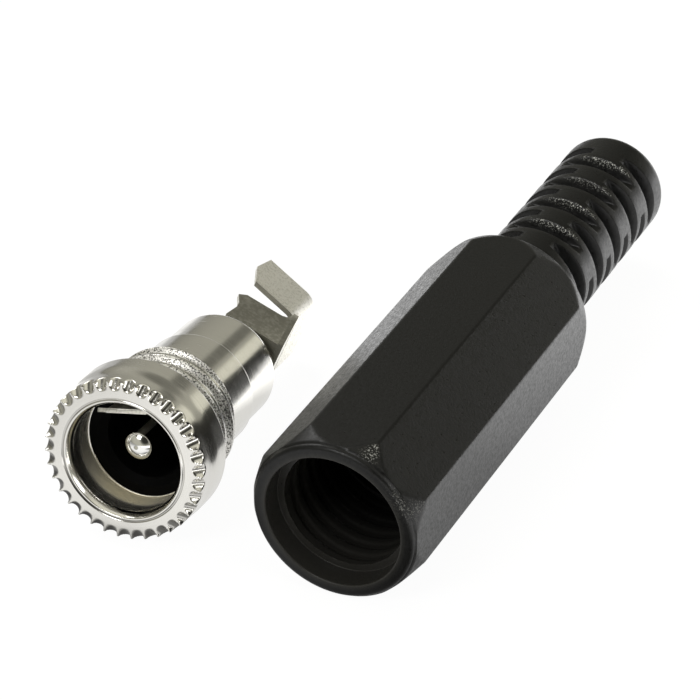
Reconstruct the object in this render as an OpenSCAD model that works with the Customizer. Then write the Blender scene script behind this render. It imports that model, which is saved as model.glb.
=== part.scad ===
// In-line DC power jack lying beside its unscrewed octagonal cover, all sizes in millimetres.
// Each half is drawn along +Z from its front face and then laid along +Y on the ground plane.

/* [Shell] */
// Length of the metal shell from the front ring to the rolled rear rim
shell_len = 17.2; // [15:0.1:22]
// Outer diameter of the collar's rear stretch
collar_d = 11.94; // [11.8:0.02:13]
// Distance from the front ring to the rear of the collar
collar_len = 3.8; // [2.8:0.1:5]
// Outer diameter of the collar's front stretch, which carries the teeth
collar_front_d = 11.72; // [11.2:0.02:11.78]
// Distance from the front ring to the small step between the collar's two stretches
collar_front_len = 2; // [1.6:0.1:2.4]
// Diameter of the flat front ring where the notches between the teeth begin
face_d = 10.25; // [10:0.05:10.6]
// Number of teeth round the front edge
tooth_count = 35; // [20:1:40]
// Turn of the teeth round the axis
tooth_turn = 4.7; // [0:0.1:10]
// Length of the notches along the collar
tooth_len = 0.62; // [0.4:0.02:0.9]
// Radius of the round notches
tooth_cut_r = 0.46; // [0.2:0.02:0.48]
// Mouth diameter at the front ring
mouth_d = 8.6; // [8.4:0.02:9]
// Depth of the bevel inside the mouth
mouth_bevel = 0.3; // [0.2:0.02:0.4]
// Diameter of the lip behind the bevel
lip_d = 8.1; // [7.9:0.02:8.16]
// Depth at which the lip ends
lip_depth = 0.68; // [0.5:0.02:0.9]
// Diameter of the undercut behind the lip
undercut_d = 8.3; // [8.2:0.05:8.5]
// Depth at which the undercut ends and the bore begins
undercut_depth = 3.8; // [3.4:0.05:3.9]
// Bore of the barrel
bore_d = 7.4; // [7:0.05:7.6]
// Outer diameter of the barrel behind the thread
barrel_d = 8.6; // [8.4:0.05:8.8]
// Outer diameter of the rear stretch of the barrel
tail_d = 8.1; // [7.9:0.05:8.3]
// Distance from the front ring to the step between the two barrel diameters
step_at = 12.4; // [10:0.1:14]
// Radius of the rolled outer edge at the rear
rim_r = 0.7; // [0.3:0.05:0.8]
// How far the rolled rim reaches inwards over the bore
rim_lip = 0.35; // [0.15:0.05:0.4]
// Thickness of the rolled rim along the axis
rim_t = 0.95; // [0.8:0.05:1.2]

/* [Thread] */
// Outer diameter of the coarse thread behind the collar
thread_d = 9.8; // [9.4:0.02:9.84]
// Depth of the thread below its crests
thread_h = 0.5; // [0.3:0.02:0.55]
// Pitch of the thread
thread_pitch = 1.4; // [1:0.05:1.6]
// Distance from the front ring to the end of the thread
thread_end = 8.7; // [7:0.1:10]

/* [Insulator] */
// Socket diameter that takes the plug's sleeve
socket_d = 5.9; // [5.6:0.05:6.2]
// Thickness of the insulator's flange, which sits in the shell's undercut
cup_flange_t = 0.4; // [0.3:0.05:0.8]
// Depth of the socket's floor behind the front ring
socket_floor = 12.2; // [10:0.1:13]
// Length of the bevel that leads the plug in
lead_in = 0.5; // [0.2:0.05:0.8]
// Thickness of the insulating washer behind the insulator
washer_t = 0.4; // [0.3:0.05:0.6]

/* [Centre pin] */
// Diameter of the centre pin
pin_d = 2; // [1.8:0.05:2.5]
// Depth of the pin's domed nose behind the front ring
pin_front = 2.1; // [1:0.1:4]
// Radius of the dome on the pin's nose
nose_r = 1.5; // [1.3:0.05:4]
// Diameter of the pin's root, where the insulator's floor holds it
pin_root_d = 2.4; // [2.4:0.05:2.6]
// How far the root stands out of the insulator's floor
pin_root_out = 0.4; // [0.2:0.05:0.8]
// Diameter of the pin's flange
flange_d = 3.4; // [3:0.1:3.6]
// Thickness of the pin's flange
flange_t = 0.5; // [0.3:0.05:0.8]
// Diameter of the solder tail
solder_d = 1.6; // [1.4:0.05:1.8]
// Length of the solder tail behind the pin's flange
solder_len = 5; // [4:0.1:5.5]
// Bore of the solder cup in the tail's end
cup_d = 1; // [0.7:0.05:1.1]
// Depth of the solder cup
cup_len = 2.2; // [1.5:0.1:2.6]

/* [Contact spring] */
// Thickness of the spring leaf
leaf_t = 0.25; // [0.2:0.01:0.3]
// Width of the spring leaf
leaf_w = 3; // [2.6:0.1:3.2]
// Width of the lip at the leaf's front end
leaf_lip_w = 4.2; // [3.4:0.1:4.2]
// Depth of the lip's front edge behind the front ring
leaf_front = 1.4; // [1.2:0.05:1.8]
// Length of the lip along the axis
leaf_lip_len = 0.3; // [0.2:0.05:0.5]
// How far the lip curls out over the leaf
leaf_curl = 0.05; // [0.05:0.05:0.25]
// How far the contact bump stands into the socket
leaf_bump = 0.35; // [0.2:0.05:0.4]
// Depth of the bump's crest behind the front ring
bump_at = 5; // [4:0.1:7]
// Angle of the spring from the top, to the right seen from the front
leaf_turn = -10.5; // [-30:0.5:30]

/* [Lug] */
// Thickness of the lug's sheet
sheet_t = 0.4; // [0.3:0.02:0.5]
// Angle of the lug's ears from the top, to the right seen from the front
lug_turn = 20.5; // [0:0.5:45]
// Height of the upper ears' outer face over the axis
ear_top = 3.6; // [3.2:0.05:3.8]
// Depth of the lower ear's outer face under the axis
ear_bottom = 1.85; // [1.5:0.05:1.85]
// Distance of the wall's outer face from the axis just behind the rim
wall_front = 3.25; // [3:0.05:3.4]
// Distance of the wall's outer face from the axis at the clamp ear
wall_rear = 2.5; // [2.3:0.05:2.9]
// How far the front half of the wall reaches under the axis
wall_drop = 2.3; // [1.2:0.05:2.4]
// How far the shoulder behind the rim comes down from the front ear
shoulder_drop = 1.2; // [0.6:0.05:1.5]
// How far the wall's cut edge stands over the front ear
wall_proud = 0.12; // [0.05:0.01:0.2]
// Length of the front ear behind the rim
front_ear_len = 3.85; // [3:0.05:4.5]
// Reach of the front ear's corner past the axis
front_ear_reach = 1.95; // [1.4:0.05:2.2]
// Gap between the front ear and the clamp ear
ear_gap = 0.9; // [0.6:0.05:1.2]
// Width of the clamp ear along the axis
clamp_w = 3.6; // [2.8:0.05:4]
// Length of the clamp ear from its fold to its point
clamp_len = 4.2; // [3:0.05:4.6]
// Rise of the clamp ear over the front ear
clamp_rise = 13; // [0:0.5:25]
// Outer radius of the clamp ear's fold
clamp_fold = 1.2; // [0.8:0.05:1.4]
// Length of the lower ear from its fold
lower_len = 2.6; // [1.5:0.05:3]
// Width of the neck that leads from the lug's washer out of the rim
neck_w = 2.4; // [1.6:0.1:2.6]
// Hole in the lug's washer, clear of the solder tail
lug_hole_d = 3.4; // [2.8:0.1:4.4]

/* [Cover] */
// Width of the octagonal body across its flats
flats_w = 12; // [11.6:0.1:14]
// Length of the octagonal body
body_len = 29.4; // [24:0.1:34]
// Overall length of the cover with its strain relief
cover_len = 49.5; // [46:0.1:56]
// Diameter of the round front rim
front_rim_d = 11.8; // [11.2:0.05:11.9]
// Length over which the front corners run out into the rim
front_run_out = 2.2; // [1.2:0.1:3]
// Length over which the rear corners run out
rear_run_out = 1.9; // [1:0.1:3]
// Depth of the plain mouth in front of the cover's thread
plain_mouth = 1.8; // [1:0.1:2.5]
// Radial play between the shell's thread and the cover's thread
thread_play = 0.04; // [0.02:0.01:0.1]
// Depth at which the cover's thread ends
cover_thread_end = 9.5; // [7:0.1:12]
// Diameter of the chamber behind the cover's thread
chamber_d = 8.5; // [8:0.05:8.9]
// Depth at which the chamber begins to narrow
chamber_end = 24; // [18:0.1:25]
// Diameter of the cable bore
cable_d = 4.5; // [3.5:0.1:4.7]

/* [Strain relief] */
// Outer diameter of the strain relief
relief_d = 8.24; // [7.6:0.02:8.6]
// Rounding of the strain relief's end
relief_round = 1; // [0.3:0.05:1.2]
// Number of slot rings in the first of the two staggered sets
slot_count = 5; // [3:1:5]
// Spacing of a set's slot rings along the axis
slot_pitch = 3.38; // [3.1:0.02:3.5]
// Width of each slot at the surface
slot_w = 1.45; // [1:0.05:1.5]
// Width of each slot at its floor
slot_floor_w = 0.65; // [0.4:0.05:0.95]
// Depth of each slot below the strain relief's surface
slot_deep = 1.1; // [0.8:0.05:1.5]
// Distance from the body's rear face to the first slot ring's middle
slot_start = 3.65; // [2.5:0.05:3.7]
// Turn of the second set's upper slots from straight up
slot_turn = 6; // [-20:1:20]

/* [Layout] */
// Jack's front centre to the left of the cover's middle line
jack_apart = 15.52; // [14:0.02:24]
// Jack's front centre in front of the cover's front face
jack_ahead = 0.38; // [-4:0.02:4]
// Turn of the jack away from the cover
jack_yaw = 3.87; // [-10:0.01:15]

/* [Hidden] */
$fn = 96;
// Radial play of the pieces pressed into the shell
seat_play = 0.05;
// Gap left between stacked faces
face_gap = 0.05;
// Play round the moving spring leaf
leaf_play = 0.12;
// Extra length of a cutter past the face that it cuts
over = 1;
collar_r = collar_d / 2;
collar_front_r = collar_front_d / 2;
// Slope of the notches away from the axis
tooth_slope = atan2(collar_front_r - face_d / 2, tooth_len);
edge_break = 0.15;
crest_w = 0.3 * thread_pitch;
flank_w = 0.25 * thread_pitch;
thread_turns = floor((thread_end - collar_len) / thread_pitch);
rim_front = shell_len - rim_t;
rim_in = min(bore_d / 2 - rim_lip, tail_d / 2 - rim_r - 0.02);
lug_washer_z = rim_front - face_gap - sheet_t;
washer_z = lug_washer_z - face_gap - washer_t;
insulator_end = washer_z - face_gap;
flange_z = insulator_end - flange_t;
cup_r = bore_d / 2 - seat_play;
socket_front = undercut_depth - cup_flange_t;
socket_r = socket_d / 2;
// Rest height of the leaf's inner face at its root and at its bump
leaf_root_h = socket_r - 0.2;
leaf_bump_h = socket_r - leaf_bump;
leaf_end = socket_floor + 1.4;
leaf_slot_w = leaf_w + 2 * leaf_play;
// Rise of the leaf from its bump to its front end, before the lip's curl
leaf_dip = 0.26;
// The jack lies on the collar's rear edge and on the rounded rear rim
rim_drop = collar_r - (tail_d / 2 - rim_r);
rim_run = shell_len - rim_r - collar_len;
jack_tilt = atan2(rim_drop, rim_run) - asin(rim_r / norm([rim_drop, rim_run]));
jack_z = collar_len * sin(jack_tilt) + collar_r * cos(jack_tilt);
// Places along the lug, measured from the front ring
lug_start = shell_len + face_gap + 0.1;
front_ear_end = shell_len + front_ear_len;
clamp_z = front_ear_end + ear_gap;
wall_slope = atan2(wall_front - wall_rear + 0.02, clamp_z - lug_start);
fold_r = sheet_t + 0.1;
// The clamp ear's top, which keeps its level part in place for any fold
clamp_top = ear_top + (clamp_fold - fold_r) * (1 - cos(clamp_rise) + (1 - sin(clamp_rise)) * tan(clamp_rise));
relief_r = relief_d / 2;
octagon_d = flats_w / cos(22.5);
// Drift of the jack's axis to the left and to the rear, and the placing that centres the pair
drift_x = sin(jack_yaw) * cos(jack_tilt);
drift_y = cos(jack_yaw) * cos(jack_tilt);
left_end = jack_apart + (collar_len - edge_break) * drift_x + collar_r * sqrt(1 - drift_x * drift_x);
front_end = jack_ahead + (collar_front_r - edge_break / 2) * sqrt(1 - drift_y * drift_y);
cover_x = (left_end - flats_w / 2) / 2;
cover_y = (max(0, front_end) - cover_len) / 2;

// Lays a piece of the jack on the ground
module lay_jack() {
  translate([cover_x - jack_apart, cover_y - jack_ahead, jack_z])
    rotate([-90 - jack_tilt, 0, jack_yaw])
      children();
}

// Lays a piece of the cover on the ground
module lay_cover() {
  translate([cover_x, cover_y, flats_w / 2])
    rotate([-90, 0, 0])
      children();
}

// Half section of one thread crest, centred on height z
module crest(z, root_r, top_r) {
  translate([root_r - over / 10, z])
    polygon([
      [0, -crest_w / 2 - flank_w],
      [over / 10, -crest_w / 2 - flank_w],
      [over / 10 + top_r - root_r, -crest_w / 2],
      [over / 10 + top_r - root_r, crest_w / 2],
      [over / 10, crest_w / 2 + flank_w],
      [0, crest_w / 2 + flank_w]
    ]);
}

// Half section of the turned shell
module shell_section() {
  polygon([
    [mouth_d / 2, 0],
    [collar_front_r - edge_break / 2, 0],
    [collar_front_r, edge_break / 2],
    [collar_front_r, collar_front_len - collar_r + collar_front_r],
    [collar_r, collar_front_len],
    [collar_r, collar_len - edge_break],
    [collar_r - edge_break, collar_len],
    [thread_d / 2 - thread_h, collar_len],
    [thread_d / 2 - thread_h, thread_end],
    [barrel_d / 2, thread_end],
    [barrel_d / 2, step_at - edge_break / 2],
    [barrel_d / 2 - edge_break / 2, step_at],
    [tail_d / 2, step_at],
    [tail_d / 2, shell_len - rim_r],
    [tail_d / 2 - rim_r, shell_len - rim_r],
    [tail_d / 2 - rim_r, shell_len],
    [rim_in, shell_len],
    [rim_in, rim_front],
    [bore_d / 2, rim_front],
    [bore_d / 2, undercut_depth + 2 * edge_break],
    [bore_d / 2 + edge_break, undercut_depth],
    [undercut_d / 2, undercut_depth],
    [undercut_d / 2, lip_depth + (undercut_d - lip_d) / 2],
    [lip_d / 2, lip_depth],
    [lip_d / 2, mouth_bevel]
  ]);
  // Rolled outer edge of the rear rim
  translate([tail_d / 2 - rim_r, shell_len - rim_r])
    intersection() {
      circle(rim_r);
      square(rim_r);
    }
  for (i = [0 : thread_turns - 1])
    crest(thread_end - thread_pitch * (i + 0.5), thread_d / 2 - thread_h, thread_d / 2);
}

// Round cutters that leave the teeth, laid across the front edge
module tooth_cuts() {
  for (i = [0 : tooth_count - 1])
    rotate([0, 0, tooth_turn + 360 * i / tooth_count])
      translate([face_d / 2 + tooth_cut_r * cos(tooth_slope), 0, -tooth_cut_r * sin(tooth_slope)])
        rotate([0, tooth_slope, 0])
          cylinder(h = 4 * (collar_front_r - face_d / 2), r = tooth_cut_r, center = true, $fn = 24);
}

module shell() {
  color("silver")
    lay_jack()
      difference() {
        rotate_extrude() shell_section();
        tooth_cuts();
      }
}

// Height of the leaf's inner face over the axis at depth z
function leaf_h(z) =
  z > bump_at
    ? leaf_root_h - (leaf_root_h - leaf_bump_h) * (0.5 + 0.5 * cos(180 * (z - bump_at) / (leaf_end - bump_at)))
    : leaf_bump_h + leaf_dip * (1 - cos(90 * (bump_at - z) / (bump_at - leaf_front)));

// Side view of the leaf, drawn with depth to the right and height upwards
module leaf_side(from, to) {
  n = 24;
  inner = [for (i = [0 : n]) let (z = from + (to - from) * i / n) [z, leaf_h(z)]];
  outer = [for (i = [n : -1 : 0]) let (z = from + (to - from) * i / n) [z, leaf_h(z) + leaf_t]];
  polygon(concat(inner, outer));
}

// Turns a side view into a strip of the given width, leaf_turn away from the top
module leaf_strip(width) {
  rotate([0, 0, leaf_turn])
    rotate([0, -90, 0])
      translate([0, 0, -width / 2])
        linear_extrude(width)
          mirror([0, 1])
            children();
}

module contact_spring() {
  lip_end = leaf_front + leaf_lip_len;
  color("gainsboro")
    lay_jack() {
      leaf_strip(leaf_w)
        leaf_side(lip_end - leaf_t, leaf_end);
      leaf_strip(leaf_lip_w)
        polygon([
          [lip_end, leaf_h(lip_end)],
          [lip_end, leaf_h(lip_end) + leaf_t],
          [leaf_front + leaf_t / 2, leaf_h(leaf_front) + leaf_t + leaf_curl],
          [leaf_front, leaf_h(leaf_front) + leaf_curl]
        ]);
    }
}

module insulator() {
  color("#1c1b1a")
    lay_jack()
      difference() {
        union() {
          translate([0, 0, socket_front + cup_flange_t / 2])
            cylinder(h = insulator_end - socket_front - cup_flange_t / 2, r = cup_r);
          // Flange that sits in the undercut, just off the step to the bore
          translate([0, 0, socket_front])
            cylinder(h = cup_flange_t - face_gap, r = undercut_d / 2 - seat_play);
        }
        // Socket for the plug, with its lead-in bevel
        translate([0, 0, socket_front - over])
          cylinder(h = socket_floor - socket_front + over, r = socket_r);
        translate([0, 0, socket_front])
          cylinder(h = lead_in, r1 = socket_r + lead_in, r2 = socket_r);
        // Hole for the pin and recess for its flange
        cylinder(h = shell_len, r = pin_root_d / 2 + seat_play);
        translate([0, 0, flange_z])
          cylinder(h = flange_t + over, r = flange_d / 2 + seat_play);
        // Slot for the contact spring
        rotate([0, 0, leaf_turn])
          translate([-leaf_slot_w / 2, -bore_d, socket_front - over])
            cube([leaf_slot_w, bore_d - leaf_bump_h + leaf_play, leaf_end + leaf_play - socket_front + over]);
      }
}

module rear_washer() {
  color("#3a2a1e")
    lay_jack()
      translate([0, 0, washer_z])
        difference() {
          cylinder(h = washer_t, r = cup_r);
          translate([0, 0, -over])
            cylinder(h = washer_t + 2 * over, r = solder_d / 2 + seat_play);
        }
}

module centre_pin() {
  tail_end = insulator_end + solder_len;
  color("lightgray")
    lay_jack()
      difference() {
        union() {
          intersection() {
            translate([0, 0, pin_front + nose_r])
              sphere(nose_r);
            translate([0, 0, pin_front - over])
              cylinder(h = nose_r + over, d = pin_d);
          }
          translate([0, 0, pin_front + nose_r - over / 10])
            cylinder(h = socket_floor - pin_front - nose_r + over / 10, d = pin_d);
          translate([0, 0, socket_floor - pin_root_out])
            cylinder(h = insulator_end - socket_floor + pin_root_out, d = pin_root_d);
          translate([0, 0, flange_z])
            cylinder(h = flange_t, d = flange_d);
          translate([0, 0, insulator_end - over / 10])
            cylinder(h = solder_len + over / 10, d = solder_d);
        }
        // Solder cup, open at the end and cut away on its upper side
        translate([0, 0, tail_end - cup_len])
          cylinder(h = cup_len + over, d = cup_d);
        translate([-solder_d, -solder_d - cup_d / 4, tail_end - cup_len + cup_d / 2])
          cube([2 * solder_d, solder_d, cup_len]);
      }
}

// Rounded fold between a level ear on top and an upright wall on the right, in section
module fold_section(wall_out, top, radius, angle) {
  translate([wall_out - radius, top - radius])
    intersection() {
      difference() {
        circle(radius);
        circle(radius - sheet_t);
      }
      polygon([
        [0, 0],
        [2 * radius, 0],
        [2 * radius, 2 * radius],
        [2 * radius * cos(angle), 2 * radius * sin(angle)]
      ]);
    }
}

// Section of the front half of the lug: level ear against the upright wall, whose cut edge stands proud
module front_section() {
  translate([wall_front - sheet_t, -wall_drop])
    square([sheet_t, ear_top + wall_proud + wall_drop]);
  translate([-front_ear_reach - over, ear_top - sheet_t])
    square([wall_front - sheet_t / 2 + front_ear_reach + over, sheet_t]);
}

// Section of an ear that leaves the wall's upper end, clamp_rise above level
module clamp_section(length, top, radius) {
  angle = 90 - clamp_rise;
  fold_section(wall_rear, top, radius, angle);
  translate([wall_rear - radius, top - radius])
    rotate(angle)
      translate([radius - sheet_t, 0])
        square([sheet_t, length]);
}

// Section of the rear half of the lug: upright wall with an ear at each end
module rear_section() {
  translate([wall_rear - sheet_t, -ear_bottom + fold_r])
    square([sheet_t, clamp_top - clamp_fold + ear_bottom - fold_r]);
  clamp_section(clamp_len, clamp_top, clamp_fold);
  mirror([0, 1])
    clamp_section(lower_len, ear_bottom, fold_r);
}

// Outline of the front ear seen from above: across the axis to the right, along it upwards
module front_ear_plan() {
  waist = front_ear_reach - 0.6;
  corner = 0.5;
  polygon([
    [-waist - 0.15, lug_start],
    [-waist, lug_start + 0.4 * front_ear_len],
    [-waist - 0.1, front_ear_end - 3 * corner],
    [-front_ear_reach, front_ear_end - corner],
    [-front_ear_reach + corner, front_ear_end],
    [wall_rear - 2 * fold_r, front_ear_end],
    [wall_rear - 1.3 * fold_r, front_ear_end + 0.2 * ear_gap],
    [wall_rear - fold_r, front_ear_end + 0.6 * ear_gap],
    [wall_rear - fold_r, clamp_z + sheet_t / 2],
    [wall_front + over, clamp_z + sheet_t / 2],
    [wall_front + over, lug_start]
  ]);
}

// Outline of the rear half seen along the sheet: blunt point on the clamp ear
module clamp_plan(reach) {
  rear = over + clamp_w;
  polygon([
    [0, 0],
    [reach - 0.7 - 0.45 * over, 0],
    [reach, over + 0.46 * clamp_w],
    [reach - 0.3, rear],
    [reach - 0.5, rear + over],
    [0, rear + over]
  ]);
}

// Stands a section drawn across and upwards on the axis, so that it runs to the rear
module along_lug(length) {
  mirror([0, 1, 0])
    linear_extrude(length)
      children();
}

module sleeve_lug() {
  color("silver")
    lay_jack()
      rotate([0, 0, lug_turn]) {
        // Washer under the rolled rim and the neck that leads out of it
        difference() {
          translate([0, 0, lug_washer_z])
            cylinder(h = sheet_t, r = cup_r);
          translate([0, 0, lug_washer_z - over])
            cylinder(h = sheet_t + 2 * over, d = lug_hole_d);
        }
        translate([wall_front - 1.7 * sheet_t, -neck_w / 2, lug_washer_z + sheet_t / 2])
          cube([sheet_t, neck_w, lug_start - lug_washer_z + sheet_t]);
        // Front half, leaning in towards the clamp ear, its upper corner cut off where the clamp ear folds
        difference() {
          intersection() {
            translate([wall_front, 0, lug_start])
              rotate([0, -wall_slope, 0])
                translate([-wall_front, 0, -over])
                  along_lug(clamp_z - lug_start + 2 * over)
                    front_section();
            rotate([90, 0, 0])
              linear_extrude(4 * ear_top, center = true)
                front_ear_plan();
          }
          translate([0, -ear_top - over, clamp_z + 0.03])
            cube([wall_front + over, over + clamp_fold + 0.3, ear_gap]);
        }
        // Shoulder that comes down from the front ear just behind the rim
        translate([0.9, -ear_top + sheet_t / 2, lug_start + 0.02])
          cube([wall_front - sheet_t / 2 - 0.9, shoulder_drop, sheet_t]);
        // Rear half with the clamp ear and the lower ear
        intersection() {
          translate([0, 0, clamp_z])
            along_lug(clamp_w)
              rear_section();
          translate([wall_rear + over, 0, clamp_z - over])
            mirror([1, 0, 0])
              rotate([90, 0, 0])
                linear_extrude(4 * ear_top, center = true)
                  clamp_plan(clamp_len + fold_r + over);
        }
      }
}

// Half section of the cover's outer limits: the corners run out into round ends
module cover_limits() {
  corner_r = octagon_d / 2;
  rear_r = flats_w / 2 - 0.05;
  polygon([
    [0, 0],
    [front_rim_d / 2, 0],
    [corner_r + over / 10, front_run_out],
    [corner_r + over / 10, body_len - rear_run_out],
    [rear_r, body_len],
    [0, body_len]
  ]);
}

// Half section of the strain relief, rounded at its end
module relief_section() {
  translate([0, body_len - over])
    square([relief_r, cover_len - relief_round - body_len + over]);
  translate([0, cover_len - relief_round - over / 10])
    square([relief_r - relief_round, relief_round + over / 10]);
  translate([relief_r - relief_round, cover_len - relief_round])
    intersection() {
      circle(relief_round);
      square(relief_round);
    }
}

// Three straight slots round the axis, narrower at their floors
module slot_ring(z) {
  lean = (slot_w - slot_floor_w) / 2 / slot_deep;
  floor_r = relief_r - slot_deep;
  for (side = [0, 120, 240])
    rotate([0, 0, side])
      translate([0, relief_d, z])
        rotate([90, 0, 0])
          linear_extrude(2 * relief_d)
            polygon([
              [floor_r, -slot_floor_w / 2],
              [relief_r + over, -slot_w / 2 - lean * over],
              [relief_r + over, slot_w / 2 + lean * over],
              [floor_r, slot_floor_w / 2]
            ]);
}

// Two sets of slot rings, staggered by half a spacing and by a sixth of a turn
module relief_slots() {
  rotate([0, 0, slot_turn - 30])
    for (i = [0 : slot_count - 1])
      slot_ring(body_len + slot_start + i * slot_pitch);
  rotate([0, 0, slot_turn - 90])
    for (i = [0 : slot_count - 2])
      slot_ring(body_len + slot_start + (i + 0.5) * slot_pitch);
}

module cover() {
  thread_r = thread_d / 2 + thread_play;
  crest_r = thread_r - thread_h;
  color("#202021")
    lay_cover()
      difference() {
        union() {
          intersection() {
            rotate([0, 0, 22.5])
              cylinder(h = body_len, d = octagon_d, $fn = 8);
            rotate_extrude() cover_limits();
          }
          difference() {
            rotate_extrude() relief_section();
            relief_slots();
          }
        }
        // Plain mouth, threaded stretch and chamber, narrowing to the cable bore
        translate([0, 0, -over])
          cylinder(h = plain_mouth + over, r = thread_r);
        cylinder(h = cover_thread_end, r = crest_r);
        cylinder(h = chamber_end, d = chamber_d);
        translate([0, 0, chamber_end - over / 10])
          cylinder(h = (chamber_d - cable_d) / 2 + over / 10, d1 = chamber_d, d2 = cable_d);
        cylinder(h = cover_len + over, d = cable_d);
      }
}

shell();
insulator();
rear_washer();
centre_pin();
contact_spring();
sleeve_lug();
cover();
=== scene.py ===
import math

import bmesh
import bpy
import numpy as np
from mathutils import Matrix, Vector


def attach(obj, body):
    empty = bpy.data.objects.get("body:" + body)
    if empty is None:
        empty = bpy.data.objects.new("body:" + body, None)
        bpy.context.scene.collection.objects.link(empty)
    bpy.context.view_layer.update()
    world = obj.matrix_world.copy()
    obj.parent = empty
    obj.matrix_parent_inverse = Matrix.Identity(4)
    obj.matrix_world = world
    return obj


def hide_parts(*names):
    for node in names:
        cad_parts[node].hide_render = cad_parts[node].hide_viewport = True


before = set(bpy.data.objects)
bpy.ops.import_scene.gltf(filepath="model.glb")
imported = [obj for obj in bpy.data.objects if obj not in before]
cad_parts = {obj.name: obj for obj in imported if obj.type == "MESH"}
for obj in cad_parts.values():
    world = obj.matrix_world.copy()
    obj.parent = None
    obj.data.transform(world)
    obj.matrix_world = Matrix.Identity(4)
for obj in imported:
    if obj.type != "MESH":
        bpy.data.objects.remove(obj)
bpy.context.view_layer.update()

mm = 0.001

# Where the two halves lie: the middle of each front in millimetres, its tilt and turn in degrees
jackPlace = {"front": (-7.6599, -24.4681, 6.4692), "tilt": 8.5621, "yaw": 3.87}
coverPlace = {"front": (7.8601, -24.0881, 6.0), "tilt": 0.0, "yaw": 0.0}


def linearColour(hexText):
    # sRGB hex to the linear colour that shaders take
    srgb = np.array([int(hexText[i:i + 2], 16) for i in (1, 3, 5)]) / 255.0
    linear = np.where(srgb <= 0.04045, srgb / 12.92, ((srgb + 0.055) / 1.055) ** 2.4)
    return (*linear.tolist(), 1.0)


def smoothStep(low, high, value):
    # From 0 to 1: three times the square of the way between low and high, minus twice its cube
    t = np.clip((value - low) / (high - low), 0.0, 1.0)
    return t * t * (3.0 - 2.0 * t)


def bell(value, middle, width, power=2):
    # 1 at the middle, falling with the power of the distance from it
    return np.exp(-((value - middle) / width) ** power)


def turnFrom(degrees, middle):
    # Signed angle from a direction, the short way round
    return (degrees - middle + 180) % 360 - 180


def softMin(a, b, k):
    # The smaller of two, rounded over where they are within k of each other
    h = np.clip(0.5 + 0.5 * (b - a) / k, 0, 1)
    return b * (1 - h) + a * h - k * h * (1 - h)


def layDown(points, place):
    # A piece's own millimetres (right, down, rear) to the row frame's metres: tip over, turn, move
    a, b = math.radians(-90.0 - place["tilt"]), math.radians(place["yaw"])
    aboutX = np.array([[1, 0, 0], [0, math.cos(a), -math.sin(a)], [0, math.sin(a), math.cos(a)]])
    aboutZ = np.array([[math.cos(b), -math.sin(b), 0], [math.sin(b), math.cos(b), 0], [0, 0, 1]])
    return (points @ (aboutZ @ aboutX).T + np.array(place["front"])) * mm


def polarPoints(radius, along, angle):
    # Radius, depth and angle clockwise from the top, seen from the front
    x = radius * np.sin(angle)
    y = -radius * np.cos(angle)
    z = along + np.zeros_like(x)
    return np.stack([x, y, z], axis=-1)


def bend(centreR, centreZ, radius, start, stop, count=6):
    # Rounded edge of a half section; degrees run from straight outwards towards the rear
    turn = np.radians(np.linspace(start, stop, count))
    return np.stack([centreR + radius * np.cos(turn), centreZ + radius * np.sin(turn)], axis=-1)


def line(*corners):
    # Corners of a half section, each a radius and a depth
    return np.array(corners, float)


def addObject(name, data):
    obj = bpy.data.objects.new(name, data)
    bpy.context.scene.collection.objects.link(obj)
    return obj


def gridMesh(name, points, **marks):
    # Quads between neighbours of a (rows, columns, 3) grid that closes on itself both ways;
    # each mark is one number per point for the material to read
    rows, columns = points.shape[:2]
    index = np.arange(rows * columns).reshape(rows, columns)
    after = np.roll(index, -1, axis=0)
    corners = [index, np.roll(index, -1, axis=1), np.roll(after, -1, axis=1), after]
    mesh = bpy.data.meshes.new(name)
    mesh.from_pydata(points.reshape(-1, 3), [], np.stack(corners, axis=-1).reshape(-1, 4))
    for markName, values in marks.items():
        attribute = mesh.attributes.new(markName, "FLOAT", "POINT")
        attribute.data.foreach_set("value", values.astype(np.float32).reshape(-1))
    work = bmesh.new()
    work.from_mesh(mesh)
    bmesh.ops.recalc_face_normals(work, faces=work.faces)
    work.to_mesh(mesh)
    work.free()
    mesh.update()
    return addObject(name, mesh)


def shadeByAngle(obj, degrees):
    # Smooth faces with edges sharper than the angle kept crisp
    obj.data.shade_smooth()
    obj.data.set_sharp_from_angle(angle=math.radians(degrees))


def finish(obj, material, body):
    # One material, the body that the piece rides on and the slot of its finish
    obj.data.materials.clear()
    obj.data.materials.append(material)
    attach(obj, body)


def addNode(tree, kind, links=None, **settings):
    # One node with its settings; links maps its inputs to values or to other nodes' outputs
    node = tree.nodes.new(kind)
    for name, value in settings.items():
        setattr(node, name, value)
    for name, value in (links or {}).items():
        socket = node.inputs[name]
        if isinstance(value, bpy.types.NodeSocket):
            tree.links.new(value, socket)
        else:
            socket.default_value = value
    return node


def newMaterial(name, colour, values):
    material = bpy.data.materials.new(name)
    material.use_nodes = True
    tree = material.node_tree
    shader = tree.nodes["Principled BSDF"]
    shader.inputs["Base Color"].default_value = linearColour(colour)
    for socket, value in values.items():
        shader.inputs[socket].default_value = value
    return material, tree, shader


def jackCoords(tree, size=(1.0, 1.0, 1.0)):
    # The jack's own right, down and rear in millimetres, each divided by a pattern size
    place = addNode(tree, "ShaderNodeTexCoord")
    turn = (math.radians(-90 - jackPlace["tilt"]), 0, math.radians(jackPlace["yaw"]))
    links = {
        "Vector": place.outputs["Object"], "Location": [v * mm for v in jackPlace["front"]],
        "Rotation": turn, "Scale": [v * mm for v in size],
    }
    return addNode(tree, "ShaderNodeMapping", links, vector_type="TEXTURE").outputs["Vector"]


def objectCoords(tree, size):
    # The row frame's axes, divided by a pattern size in millimetres
    place = addNode(tree, "ShaderNodeTexCoord")
    links = {"Vector": place.outputs["Object"], "Scale": [1 / (size * mm)] * 3}
    return addNode(tree, "ShaderNodeMapping", links).outputs["Vector"]


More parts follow.
